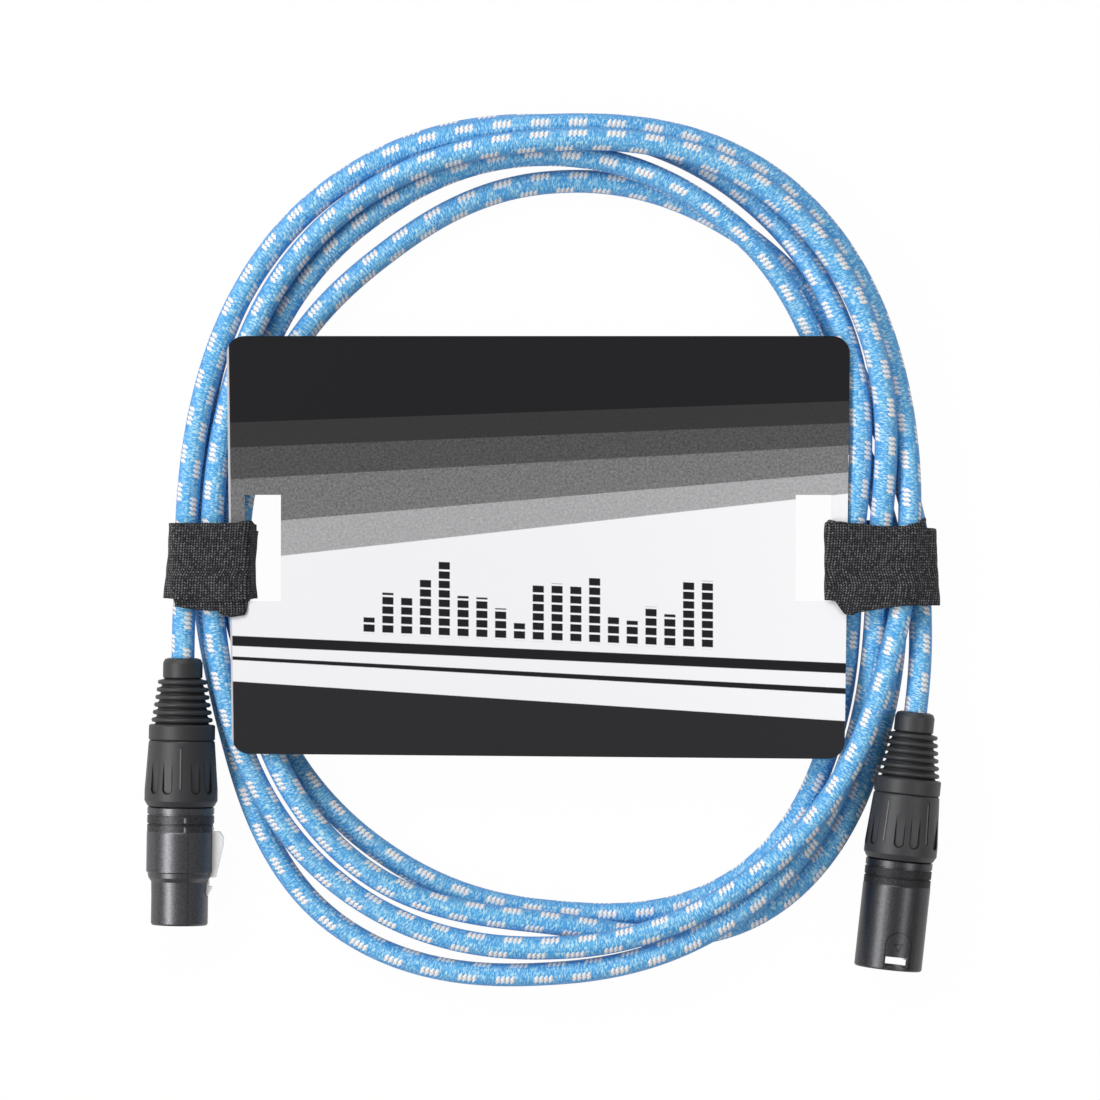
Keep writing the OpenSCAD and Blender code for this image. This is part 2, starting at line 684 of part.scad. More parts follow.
// ================= latch =================
lever_out = nose_r + 0.1;
module latch_lever() {
    thumb_z = shell_z + 6.9;
    thumb_len = 12.6;
    color("#c4c6c8") female() difference() {
        union() {
            // plate along the slot
            translate([lever_out - lever_t, -lever_w / 2, pivot_z])
                cube([lever_t, lever_w,
                    hook_z + hook_len - pivot_z]);
            // eye round the pivot pin
            translate([pivot_x, 0, pivot_z]) rotate([90, 0, 0])
                cylinder(r = 1.25, h = lever_w, center = true, $fn = 32);
            // thumb tab, ramped to the front
            translate([0, lever_w / 2, 0]) rotate([90, 0, 0])
                linear_extrude(lever_w) polygon([
                    [lever_out - 0.2, thumb_z],
                    [shell_r + thumb_h * 0.6, thumb_z],
                    [shell_r + thumb_h, thumb_z + 1.6],
                    [shell_r + thumb_h, thumb_z + 3.4],
                    [shell_r + 0.6, thumb_z + thumb_len],
                    [lever_out - 0.2, thumb_z + thumb_len]]);
            // hook that drops in the other plug's window
            translate([0, lever_w / 2, 0]) rotate([90, 0, 0])
                linear_extrude(lever_w) polygon([
                    [lever_out - 0.2, hook_z],
                    [lever_out + 0.75, hook_z],
                    [lever_out + 0.75, hook_z + 0.6],
                    [lever_out - 0.2, hook_z + hook_len]]);
        }
        translate([pivot_x, 0, pivot_z]) rotate([90, 0, 0])
            cylinder(d = pivot_d + 0.1, h = lever_w + 2, center = true,
                $fn = 32);
        // room for the spring
        translate([pivot_x - 3, -1, pivot_z - 3]) cube([6, 2, 4.6]);
        // finger grooves across the thumb tab
        for (k = [0 : 3])
            translate([shell_r + thumb_h + 0.15, 0,
                thumb_z + 1.8 + k * 0.7]) rotate([90, 0, 0])
                cylinder(r = 0.3, h = lever_w + 1, center = true,
                    $fn = 16);
    }
}
module latch_pin() {
    color("silver") female() translate([pivot_x, 0, pivot_z])
        rotate([90, 0, 0])
            cylinder(d = pivot_d, h = 7.4, center = true, $fn = 32);
}
spring_wire = 0.3;
module latch_spring() {
    coil_r = pivot_d / 2 + 0.1 + spring_wire / 2;
    n = spring_turns * 8;
    color("lightgrey") female() translate([pivot_x, 0, pivot_z])
        rotate([90, 0, 0])
            spring_tube([for (i = [0 : n])
                [coil_r * cos(i * 45), coil_r * sin(i * 45),
                    (i / n - 0.5) * 1.4]], spring_wire / 2);
}
// the same sweep, for a line that circles the Z axis
module spring_tube(p, r) {
    n = len(p);
    pts = [for (i = [0 : n - 1])
        let (w = way(p, i), s = unit([p[i][0], p[i][1], 0]),
            v = unit(cross(s, w)), s2 = cross(w, v))
        for (j = [0 : 5])
            p[i] + r * (s2 * cos(j * 60) + v * sin(j * 60))];
    polyhedron(pts, concat(
        [for (i = [0 : n - 2]) for (j = [0 : 5])
            let (a = i * 6 + j, b = i * 6 + (j + 1) % 6)
            each [[a, b, b + 6], [a, b + 6, a + 6]]],
        [for (j = [1 : 4]) each [[0, j + 1, j],
            [(n - 1) * 6, (n - 1) * 6 + j, (n - 1) * 6 + j + 1]]]),
        convexity = 6);
}

module female_chuck() { female() chuck(); }
module female_nut() { female() nut(122); }
module female_boot() { female() boot(); }
module male_chuck() { male() chuck(); }
module male_nut() { male() nut(85); }
module male_boot() { male() boot(); }

cable();
card();
strap_left();
strap_right();
female_shell();
female_insert();
female_contact(0);  // female_contact_1
female_contact(1);  // female_contact_2
female_contact(2);  // female_contact_3
latch_lever();
latch_pin();
latch_spring();
female_chuck();
female_nut();
female_boot();
female_core(0);  // female_core_1
female_core(1);  // female_core_2
female_core(2);  // female_core_3
male_shell();
male_insert();
male_pin(0);  // male_pin_1
male_pin(1);  // male_pin_2
male_pin(2);  // male_pin_3
male_chuck();
male_nut();
male_boot();
male_core(0);  // male_core_1
male_core(1);  // male_core_2
male_core(2);  // male_core_3
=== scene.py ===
# Looks of a three metre braided microphone cable, coiled and strapped
# to a printed card, with a socket plug and a pin plug at its ends.
# Lengths are worked out in millimetres and made metres by MM.
import math

import bmesh
import bpy
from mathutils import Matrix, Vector


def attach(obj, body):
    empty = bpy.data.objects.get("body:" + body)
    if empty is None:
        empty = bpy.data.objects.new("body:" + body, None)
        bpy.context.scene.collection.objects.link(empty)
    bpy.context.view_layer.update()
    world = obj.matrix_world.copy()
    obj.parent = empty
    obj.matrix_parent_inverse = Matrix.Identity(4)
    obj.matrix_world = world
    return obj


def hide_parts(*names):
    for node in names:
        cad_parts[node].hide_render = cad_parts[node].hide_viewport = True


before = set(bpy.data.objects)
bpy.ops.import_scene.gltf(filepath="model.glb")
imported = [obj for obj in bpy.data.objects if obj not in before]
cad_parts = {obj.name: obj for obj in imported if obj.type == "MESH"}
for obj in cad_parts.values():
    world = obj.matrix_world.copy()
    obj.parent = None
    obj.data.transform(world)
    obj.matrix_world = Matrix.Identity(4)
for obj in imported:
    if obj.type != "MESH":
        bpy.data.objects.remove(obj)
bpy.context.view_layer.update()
MM = 0.001

# ---------------------------------------------------------------- camera
# Straight above the card, its top edge up, far away with a long lens,
# so that the card and the coil under it keep one scale. The frame takes
# in VIEW_WIDTH at the height SCALE_Z.
VIEW_WIDTH, SCALE_Z = 305.6, 10
VIEW_MIDDLE_X = 1.95
LENS, SENSOR = 200, 36
eye = bpy.data.cameras.new("camera")
eye.lens, eye.sensor_width = LENS, SENSOR
eye.clip_end = 10
camera = bpy.data.objects.new("camera", eye)
camera.location = (VIEW_MIDDLE_X * MM, 0,
                   (SCALE_Z + VIEW_WIDTH * LENS / SENSOR) * MM)
bpy.context.scene.collection.objects.link(camera)
bpy.context.scene.camera = camera

# ----------------------------------------------------------------- cable
# One braided cable wound clockwise from the socket plug: four and a half
# turns held at both straps, then a short lead down to the pin plug. The
# textile sleeve is sky blue with rows of white blocks, four round it.
CABLE_R = 3.2
# the oval, to the middle of its outer lane, and how square it is
OVAL_X = 2.0
COIL_W, COIL_H, SQUARE = 199.2, 236.6, 2.4
# a station every STATION degrees holds how many steps the cable lies in
# from the outer lane, and how many steps up from BASE_Z. There is a row
# for each half turn, upper and lower by turns, written left to right.
STATION, LANE_STEP, BASE_Z = 30, 7.0, 3.25
LANES = [
    [-0.2, 0, 0.2, 0.05, -0.3, -0.2, 0.05],
    [0.8, 0.95, 1.2, 1.15, 1.65, 0.95, 0.05],
    [0.8, 1.05, 1.15, 0.7, 0.3, 0.4, 1.2],
    [0.3, 0.66, -0.2, 0.1, 0.85, 1.15, 1.2],
    [0.3, 0, 0.1, 0, 0.9, 1.4, 2.25],
    [1.3, 2.4, 3.2, 2.5, 1.85, 2.15, 2.25],
    [1.3, 1.75, 1.95, 1.2, 2.2, 2.4, 0.65],
    [1.85, 2.05, 2.25, 2.1, 0.25, 0.3, 0.65],
    [1.85, 2.6, 3.45, 2.25, 2.2, 1.3, -0.45]]
LAYERS = [
    [1.28, 1.15, 1, 1.1, 0.78, 1, 1.35],
    [1.25, 1.05, 1, 1.65, 1.9, 1.8, 1.35],
    [1.25, 1.1, 1.35, 1.9, 1.6, 1.85, 1.35],
    [0.36, 0.06, 0.2, 1.15, 1.25, 0.65, 1.35],
    [0.36, 0.12, 0, 0, 0.24, 1.36, 1.35],
    [0.3, 0.12, 0, 0, 0, 0.1, 1.35],
    [0.3, 0.12, 0.6, 0.9, 1.12, 0.48, 0.36],
    [1.25, 1.12, 1, 1, 0, 0.06, 0.36],
    [1.25, 0.7, 0, 0, 0, 0.1, 0.3]]
PER_HALF = 180 // STATION
STATIONS = len(LANES) * PER_HALF


def held(table, k):
    """The table's value at whole station k, counted along the cable."""
    k = max(0, min(STATIONS, k))
    row = min(len(LANES) - 1, k // PER_HALF)
    column = k - row * PER_HALF
    return table[row][column if row % 2 == 0 else PER_HALF - column]


def along(table, u):
    """A smooth curve through the four stations nearest to u."""
    k = min(STATIONS - 1, int(u + 1e-6))
    a, b, c, d = (held(table, k + i) for i in (-1, 0, 1, 2))
    t = u - k
    return 0.5 * (2 * b + (c - a) * t + (2 * a - 5 * b + 4 * c - d) * t * t
                  + (3 * b - a - 3 * c + d) * t ** 3)


def coil_at(u):
    """The middle of the cable at station u."""
    turn = math.radians(180 - u * STATION)
    r = ((abs(math.cos(turn)) / (COIL_W / 2)) ** SQUARE
         + (abs(math.sin(turn)) / (COIL_H / 2)) ** SQUARE) ** (-1 / SQUARE)
    r -= along(LANES, u) * LANE_STEP
    return Vector((OVAL_X + r * math.cos(turn), r * math.sin(turn),
                   BASE_Z + max(0, along(LAYERS, u)) * LANE_STEP))


# where each boot's top end is from the oval's middle, and how many
# degrees the plug leans; both plugs lie at the height AXIS_Z
SOCKET_PLUG = (-102.0, -30.0, -0.8)
PIN_PLUG = (101.5, -45.0, -6.2)
AXIS_Z = 10.15
# how far down a plug its shell begins, how much of the cable it takes
# in there, and how far the cable runs on straight out of the boot
TAIL_Z, GRIP, STRAIGHT_OUT = 31.2, 7, 4
CABLE_END = TAIL_Z + GRIP
# how freely a lead bends, and steps along a lead, a plug and a station
LEAD_EASE, LEAD_STEPS, PLUG_STEPS, COIL_STEPS = 0.4, 30, 12, 16


def on_axis(plug, z):
    """A point z along a plug, measured from its boot's top end."""
    x, y, lean = plug
    lean = math.radians(lean)
    return Vector((OVAL_X + x + z * math.sin(lean),
                   y - z * math.cos(lean), AXIS_Z))


def bend(a, da, b, db, t):
    """An easy bend from a, leaving along da, to b, arriving along db."""
    return (a * (1 - t) ** 3 + (a + da) * 3 * t * (1 - t) ** 2
            + (b - db) * 3 * t * t * (1 - t) + b * t ** 3)


def lead(plug, coil_end):
    """The bend between a plug and the coil, from the plug's side."""
    start = on_axis(plug, -STRAIGHT_OUT)
    away = (start - on_axis(plug, 0)).normalized()
    reach = LEAD_EASE * (coil_end - start).length
    up = Vector((0, 1, 0)) * reach
    return [bend(start, away * reach, coil_end, up, i / LEAD_STEPS)
            for i in range(LEAD_STEPS + 1)]


socket_side = [on_axis(SOCKET_PLUG, CABLE_END * (1 - i / PLUG_STEPS))
               for i in range(PLUG_STEPS)]
socket_side += [on_axis(SOCKET_PLUG, 0)] + lead(SOCKET_PLUG, coil_at(0))
turns = [coil_at(i / COIL_STEPS) for i in range(1, COIL_STEPS * STATIONS)]
pin_side = lead(PIN_PLUG, coil_at(STATIONS))[::-1]
pin_side += [on_axis(PIN_PLUG, CABLE_END * i / PLUG_STEPS)
             for i in range(PLUG_STEPS + 1)]
rough_line = socket_side + turns + pin_side


def evened(points, step):
    """The same line with its points an even step apart."""
    total = sum((b - a).length for a, b in zip(points, points[1:]))
    count = round(total / step)
    step = total / count
    out, left = [points[0]], step
    for a, b in zip(points, points[1:]):
        run, done = (b - a).length, 0
        while run - done >= left and len(out) < count:
            done += left
            out.append(a.lerp(b, done / run))
            left = step
        left -= run - done
    return out + [points[-1]], step


POINT_STEP = 1.6
cable_line, cable_step = evened(rough_line, POINT_STEP)
cable_length = cable_step * (len(cable_line) - 1)


def piece_from(grid, name):
    """A new piece from the faces drawn in a grid, all facing out."""
    bmesh.ops.recalc_face_normals(grid, faces=grid.faces)
    mesh = bpy.data.meshes.new(name)
    grid.to_mesh(mesh)
    grid.free()
    piece = bpy.data.objects.new(name, mesh)
    bpy.context.scene.collection.objects.link(piece)
    return piece


def sleeve(name, line, radius, sides, step, block, twist):
    """A tube along a line, with lengths in blocks as u and turns as v."""
    rings, grid = [], bmesh.new()
    lay = grid.loops.layers.uv.new("sleeve")
    for i, p in enumerate(line):
        way = (line[min(i + 1, len(line) - 1)]
               - line[max(i - 1, 0)]).normalized()
        side = way.cross(Vector((0, 0, 1))).normalized()
        rise = side.cross(way)
        rings.append([grid.verts.new(
            (p + radius * (side * math.cos(j * math.tau / sides)
                           + rise * math.sin(j * math.tau / sides))) * MM)
            for j in range(sides)])
    for i, (ring, after) in enumerate(zip(rings, rings[1:])):
        for j in range(sides):
            k = (j + 1) % sides
            face = grid.faces.new((ring[j], ring[k], after[k], after[j]))
            face.smooth = True
            for corner, (a, b) in zip(face.loops, (
                    (i, j), (i, j + 1), (i + 1, j + 1), (i + 1, j))):
                corner[lay].uv = (a * step / block,
                                  b / sides + twist(a * step))
    grid.faces.new(rings[0][::-1])
    grid.faces.new(rings[-1])
    return piece_from(grid, name)


# a white block and the blue run after it, and faces round the tube
BLOCK_PITCH, SIDES = 10.5, 16
# the sleeve starts a little turned, turns once in TWIST_RUN, and sways
START_TURN, TWIST_RUN, SWAY, SWAY_RUN = 0.1, 2600, 0.12, 310


def slow_twist(s):
    """How far the sleeve has turned round the cable after s, in turns."""
    return START_TURN + s / TWIST_RUN + SWAY * math.sin(s / SWAY_RUN)


cable = sleeve("cable_sleeve", cable_line, CABLE_R, SIDES, cable_step,
               BLOCK_PITCH, slow_twist)


class Wire:
    """A value, colour or vector on its way through a material."""

    def __init__(self, tree, socket):
        self.tree, self.socket = tree, socket

    def math(self, operation, *others):
        """A Math node on this value and perhaps another one."""
        node = self.tree.nodes.new("ShaderNodeMath")
        node.operation = operation
        for pin, value in zip(node.inputs, (self,) + others):
            join(self.tree, pin, value)
        return Wire(self.tree, node.outputs[0])

    def __add__(self, other):
        return self.math("ADD", other)

    __radd__ = __add__

    def __mul__(self, other):
        return self.math("MULTIPLY", other)

    __rmul__ = __mul__

    def __sub__(self, other):
        return self.math("SUBTRACT", other)

    def __rsub__(self, other):
        return (self * -1) + other

    def __truediv__(self, other):
        return self.math("DIVIDE", other)

    def __mod__(self, other):
        return self.math("FLOORED_MODULO", other)

    def __pow__(self, other):
        return self.math("POWER", other)

    def __lt__(self, other):
        return self.math("LESS_THAN", other)

    def __gt__(self, other):
        return self.math("GREATER_THAN", other)


def join(tree, pin, value):
    """Links a wire to a socket, or sets the socket to a plain value."""
    if isinstance(value, Wire):
        tree.links.new(value.socket, pin)
    elif hasattr(value, "__len__") and len(value) == 3 \
            and pin.type == "RGBA":
        pin.default_value = (*value, 1)
    else:
        pin.default_value = value


class Finish:
    """One material: a Principled shader with what feeds it."""

    def __init__(self, name, **fixed):
        self.material = bpy.data.materials.new(name)
        self.material.use_nodes = True
        self.tree = self.material.node_tree
        self.shader = self.tree.nodes["Principled BSDF"]
        for key, value in fixed.items():
            socket = key.replace("_", " ").title().replace("Ior", "IOR")
            self.feed(socket, value)

    def feed(self, socket, value):
        """Links or sets one socket of the shader."""
        join(self.tree, self.shader.inputs[socket], value)

    def node(self, kind, settings=None, sockets=None, output=0):
        """Adds a node, sets it up, feeds it, and gives one output."""
        made = self.tree.nodes.new("ShaderNode" + kind)
        for key, value in (settings or {}).items():
            setattr(made, key, value)
        for key, value in (sockets or {}).items():
            join(self.tree, made.inputs[key], value)
        return Wire(self.tree, made.outputs[output])

    def split(self, vector):
        """A vector's three parts."""
        node = self.tree.nodes.new("ShaderNodeSeparateXYZ")
        join(self.tree, node.inputs[0], vector)
        return [Wire(self.tree, out) for out in node.outputs]

    def vector(self, x, y, z=0.0):
        """A vector from its three parts."""
        return self.node("CombineXYZ", {}, {0: x, 1: y, 2: z})

    def place(self):
        """Where on the piece, in metres."""
        return self.node("TexCoord", output="Object")

    def away(self, blend):
        """How far the surface turns away from the eye, up to 1."""
        return self.node("LayerWeight", {}, {"Blend": blend}, "Facing")

    def noise(self, vector, scale, detail=2.0, rough=0.5):
        """Soft random variation, from 0 to 1."""
        return self.node("TexNoise", {}, {
            "Vector": vector, "Scale": scale, "Detail": detail,
            "Roughness": rough})

    def chance(self, column, row):
        """A random value for each pair of whole numbers."""
        return self.node("TexWhiteNoise", {"noise_dimensions": "2D"},
                         {"Vector": self.vector(column, row)})

    def mix(self, factor, a, b):
        """From colour a to colour b, whose sockets go by number."""
        return self.node("Mix", {"data_type": "RGBA"},
                         {0: factor, 6: a, 7: b}, output=2)

    def bump(self, height, depth, strength):
        """Raises the surface by up to depth, in millimetres."""
        self.feed("Normal", self.node("Bump", {}, {
            "Strength": strength, "Distance": depth * MM,
            "Height": height}))


def onto(finish, *names):
    """Gives a finish to pieces, as their only material."""
    for name in names:
        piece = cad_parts.get(name) or bpy.data.objects[name]
        piece.data.materials.clear()
        piece.data.materials.append(finish.material)


# rows of stitches round the sleeve, stitches in a repeat, how far each
# row starts after the last one, and rows from one block to the next
ROWS, STITCHES, LEAN, BLOCK_ROWS = 16, 8, -0.25, 4.0
# sleeve colours: blues of the yarn, a pale tip blue that also paints a
# highlight, a deep blue painted as shade, and white and grey yarn, the grey
# also painted as shade
SKY, SKY_DEEP = (0.155, 0.56, 0.89), (0.065, 0.36, 0.77)
SKY_TIP_AND_HIGHLIGHT, SHADE_BLUE = (0.60, 0.90, 0.99), (0.018, 0.18, 0.63)
WHITE_YARN, GREY_YARN_AND_SHADE = (0.98, 0.98, 0.99), (0.34, 0.32, 0.37)
braid = Finish("braid", roughness=0.55, specular_ior_level=0.4,
               sheen_weight=0.15, sheen_roughness=0.4)
u, v, _ = braid.split(braid.node("UVMap", {"uv_map": "sleeve"}))
round_v = (v % 1.0) * ROWS
row = round_v.math("FLOOR")
across = round_v - row - 0.5
phase = u * STITCHES + round_v * LEAN
half_step = (row % 2.0) * 0.5
stitch = (phase + half_step).math("FLOOR")
down = phase + half_step - stitch - 0.5
puff = ((down * math.pi).math("COSINE")
        * (across * math.pi).math("COSINE")).math("MAXIMUM", 0.0) ** 0.6
# white yarn comes up in blocks two rows high and half a repeat long,
# with a row of pointed stitch tips along both sides
tooth = 1 - (phase - phase.math("FLOOR") - 0.5).math("ABSOLUTE") * 2
from_middle = (round_v % BLOCK_ROWS) - 1
side = from_middle.math("ABSOLUTE")
block = (round_v / BLOCK_ROWS).math("FLOOR")
along_run = (phase.math("FLOOR") - block * 2) % float(STITCHES)
white = (side < tooth * 0.95 + 0.26) * (along_run < 3.5)
each = braid.chance(stitch, row)
strands = braid.noise(braid.vector(phase * 3.4 + round_v * 0.5,
                                   round_v * 0.9, row * 0.37), 1.0, 1, 0.5)
patch = braid.noise(braid.vector(u * 2.6, round_v * 0.25), 1.0, 3, 0.6)
# how far the sleeve turns from the eye, which places painted light and shade
# across each strand
away = braid.away(0.35)
blue = braid.mix(patch * 1.6 + strands * 2.4 - 1.5, SKY_DEEP, SKY)
# paler streaks of yarn, kept to the middle of each strand that faces the eye:
# partly yarn, partly a painted highlight
blue = braid.mix((strands * 3.4 + each * 0.4 - 1.75) * (1 - away * 1.3),
                 blue, SKY_TIP_AND_HIGHLIGHT)
# painted shade: deeper blue in the hollows between stitches and along the
# sides that turn from the eye
blue = braid.mix((1 - puff) * 0.12 + away * 0.75, blue, SHADE_BLUE)
# slanting gaps between the two rows of stitches in a block, painted grey as
# shade
slant = phase + from_middle * 0.55
notch = (slant - slant.math("FLOOR") - 0.5).math("ABSOLUTE") * 3.6 - 0.8
gap_shade = notch.math("MAXIMUM", 0.0) * (0.8 - side).math("MAXIMUM", 0.0) * 1.3
# the white yarn turns grey as painted shade in those gaps, between the stitch
# tips and on the sides that turn from the eye, and varies a little along its
# strands
pale = braid.mix(gap_shade + (1 - tooth) * 0.12 + (strands - 0.52) * 0.5
                 + away * 0.25, WHITE_YARN, GREY_YARN_AND_SHADE)
braid.feed("Base Color", braid.mix(white, blue, pale))
braid.bump(puff * (1 - white) + white * (tooth + 0.3) + strands * 0.8,
           0.16, 0.8)
onto(braid, "cable_sleeve")
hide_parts("cable")
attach(cable, "hank")
cable_length * MM
[p * MM for p in cable_line]

# ------------------------------------------------------------------ card
# A stiff board, 1 mm thick, cut with round corners and two strap slots.
# Its face is printed: slanting dark bands over a pale field with a plain
# row of level bars, and its cut edge and back are bare pulp board.
CARD_X, CARD_Y, CARD_TOP = -1.3, 0.7, 17.25
CARD_HALF, CARD_TAPER = 85.5, 0.012
INK, PALE = (0.012, 0.012, 0.014), (0.9, 0.9, 0.915)
FOOT, BARE = (0.022, 0.022, 0.025), (0.62, 0.60, 0.62)
PULP_DARK, PULP_PALE = (0.55, 0.54, 0.53), (0.7, 0.69, 0.68)
board = Finish("card_print", specular_ior_level=0.15)
x, y, _ = board.split(board.place())
x, y = x * 1000 - CARD_X, y * 1000 - CARD_Y
grain = board.noise(board.place(), 1500, 2, 0.7)
speck = (grain - 0.5) * 2.4


def edge(distance, soft=0.2):
    """1 where a distance in mm is above 0, over a soft step."""
    return (distance / soft + 0.5).math("MAXIMUM", 0.0).math("MINIMUM", 1.0)


def grey(finish, tone, cool):
    """A grey with a little more blue in it."""
    return finish.node("CombineColor", {}, {
        0: tone, 1: tone, 2: tone * cool})


def print_below(printed, slope, height, colour):
    """What is printed, with a colour below a slanting line."""
    return board.mix(edge(x * slope + height - y), printed, colour)


# dark bands, paler downwards, each below its own line: the line's slope
# and height, the band's shade, and how strongly it is speckled
printed = INK
for slope, height, shade, strength in (
        (0.035, 37.5, 0.036, 0.008), (0.04, 31.0, 0.082, 0.06),
        (0.055, 23.5, 0.18, 0.13), (0.085, 13.5, 0.40, 0.16)):
    printed = print_below(printed, slope, height,
                          grey(board, speck * strength + shade, 1.02))
# the pale field, and on it the level bars, which stand on a slanting
# line, rise and fall in two waves, and are cut across into segments
printed = print_below(printed, 0.11, 5.5, PALE)
BAR_PITCH, BAR_W, BARS, BAR_SLOPE, BAR_FOOT = 5.2, 3.1, 19, -0.045, -26
SEGMENT, CUT = 2.6, 0.55
bar = (x / BAR_PITCH + 0.5).math("FLOOR")
beside = (x - bar * BAR_PITCH).math("ABSOLUTE")
tall = ((bar * 0.9).math("SINE") * 5.5 + (bar * 2.3 + 1).math("SINE") * 3.5
        + 12.5)
up_bar = y - (x * BAR_SLOPE + BAR_FOOT)
bars = edge(BAR_W / 2 - beside) * edge(up_bar) * edge(tall - up_bar) \
    * edge(BARS / 2 * BAR_PITCH - x.math("ABSOLUTE"))
printed = board.mix(bars * edge((up_bar % SEGMENT) - CUT), printed, INK)
# two dark stripes across the pale field, and the foot band
for slope, height, colour in ((-0.045, -28.2, INK), (-0.045, -31, PALE),
                              (-0.052, -34.5, INK), (-0.056, -35.8, PALE),
                              (-0.065, -42.5, FOOT)):
    printed = print_below(printed, slope, height, colour)
# the left cut edge catches the light as a bare line
BARE_W = 0.55
printed = board.mix(edge(BARE_W - CARD_HALF - x - y * CARD_TAPER),
                    printed, BARE)
face_up = board.split(board.node("NewGeometry", output="Normal"))[2]
pulp = board.mix(grain, PULP_DARK, PULP_PALE)
board.feed("Base Color", board.mix(face_up > 0.5, pulp, printed))
board.feed("Roughness", 0.44 + grain * 0.12)
board.bump(grain, 0.02, 0.5)
onto(board, "card")

# ---------------------------------------------------------------- straps
# Two black hook and loop tapes, drawn tight round the cable and the strip
# of card beside each slot. Each goes round twice: the top layer covers
# most of the under layer, whose edge shows past it.

# thickness of the tape, and its gap to what it holds
TAPE, HOLD = 0.8, 0.15
# the strip of card beside each slot, where it starts and how wide it is,
# and the radius of the tape's turns at the card and on the table
SLOT_EDGE, STRIP_W, CORNER = {-1: -82.8, 1: 80.0}, 4.6, 0.6
# the top layers stand off the coil's outer side, most at the low end
BULGE_Y, BULGE_RUN, BULGE_R, BULGE_Z = -16, 34, 2.2, (9, 11)
# the tape is on top above TOP_SIDE or further out than FAR_OUT, and
# underneath below UNDERSIDE; its edges are read at about EDGES
TOP_SIDE, FAR_OUT, UNDERSIDE = CARD_TOP - 3.2, 14, 4
EDGES, MIDDLE = (7, -15), -4
# its shape is cut SECTIONS times from LOW to HIGH, each cut with TURN
# points round all that it holds, and then RING even ones
LOW, HIGH = -20, 10
SECTIONS, TURN, PARTS, RING, TAPE_ROWS = 13, 24, 8, 180, 26


def crossings(y, side):
    """Where the strands of one side cross the line at y, as (x, z)."""
    found = []
    for a, b in zip(cable_line, cable_line[1:]):
        if (a.y - y) * (b.y - y) <= 0 and a.y != b.y and a.x * side > 0:
            p = a.lerp(b, (y - a.y) / (b.y - a.y))
            found.append((p.x, p.z))
    return found


def hull(points):
    """The convex outline of some (x, z) points, counterclockwise."""
    def half(run):
        kept = []
        for p in run:
            while len(kept) > 1 and (
                    (kept[-1][0] - kept[-2][0]) * (p[1] - kept[-2][1])
                    - (kept[-1][1] - kept[-2][1]) * (p[0] - kept[-2][0])
                    <= 0):
                kept.pop()
            kept.append(p)
        return kept[:-1]
    run = sorted(set(points))
    return half(run) + half(run[::-1])


def outline(y, side, inner, bulge):
    """RING even points round what the strap holds at y, from the slot."""
    near = [q for dy in (-5, 0, 5) for q in crossings(y + dy, side)]
    rounds = [(x, z, CABLE_R + HOLD) for x, z in near]
    slot = SLOT_EDGE[side]
    rounds += [(slot + side * out, CARD_TOP + HOLD - CORNER, CORNER)
               for out in (0, STRIP_W)]
    foot = sum(x for x, z in near) / len(near)
    rounds += [(foot + 5 * i, 2 * TAPE + CORNER, CORNER) for i in (-1, 1)]
    outer = max(x * side for x, z in near) \
        + bulge * (1 - (y - BULGE_Y) / BULGE_RUN)
    rounds += [(outer * side, z, BULGE_R) for z in BULGE_Z]
    ring = hull([
        (x + (r + inner) * math.cos(i * math.tau / TURN),
         z + (r + inner) * math.sin(i * math.tau / TURN))
        for x, z, r in rounds for i in range(TURN)])
    if side > 0:
        ring.reverse()
    # start where the tape dives through the slot, half way down
    first = min(range(len(ring)), key=lambda i: abs(
        ring[i][1] - CARD_TOP / 2) + 50 * (ring[i][0] * side
                                           > slot * side + 6))
    ring = [Vector(q) for q in ring[first:] + ring[:first + 1]]
    ring = [a.lerp(b, i / PARTS) for a, b in zip(ring, ring[1:])
            for i in range(PARTS)] + [ring[-1]]
    total = sum((b - a).length for a, b in zip(ring, ring[1:]))
    even, done, k = [], 0, 0
    for a, b in zip(ring, ring[1:]):
        run = (b - a).length
        while k < RING and done + run >= k * total / RING:
            even.append(a.lerp(b, (k * total / RING - done) / run
                               if run else 0))
            k += 1
        done += run
    return even, total


def level(table, a):
    """The height of an edge a away from the slot, between its corners."""
    if a <= table[0][0]:
        return table[0][1]
    for (a0, y0), (a1, y1) in zip(table, table[1:]):
        if a <= a1:
            return y0 + (y1 - y0) * (a - a0) / (a1 - a0)
    return table[-1][1]


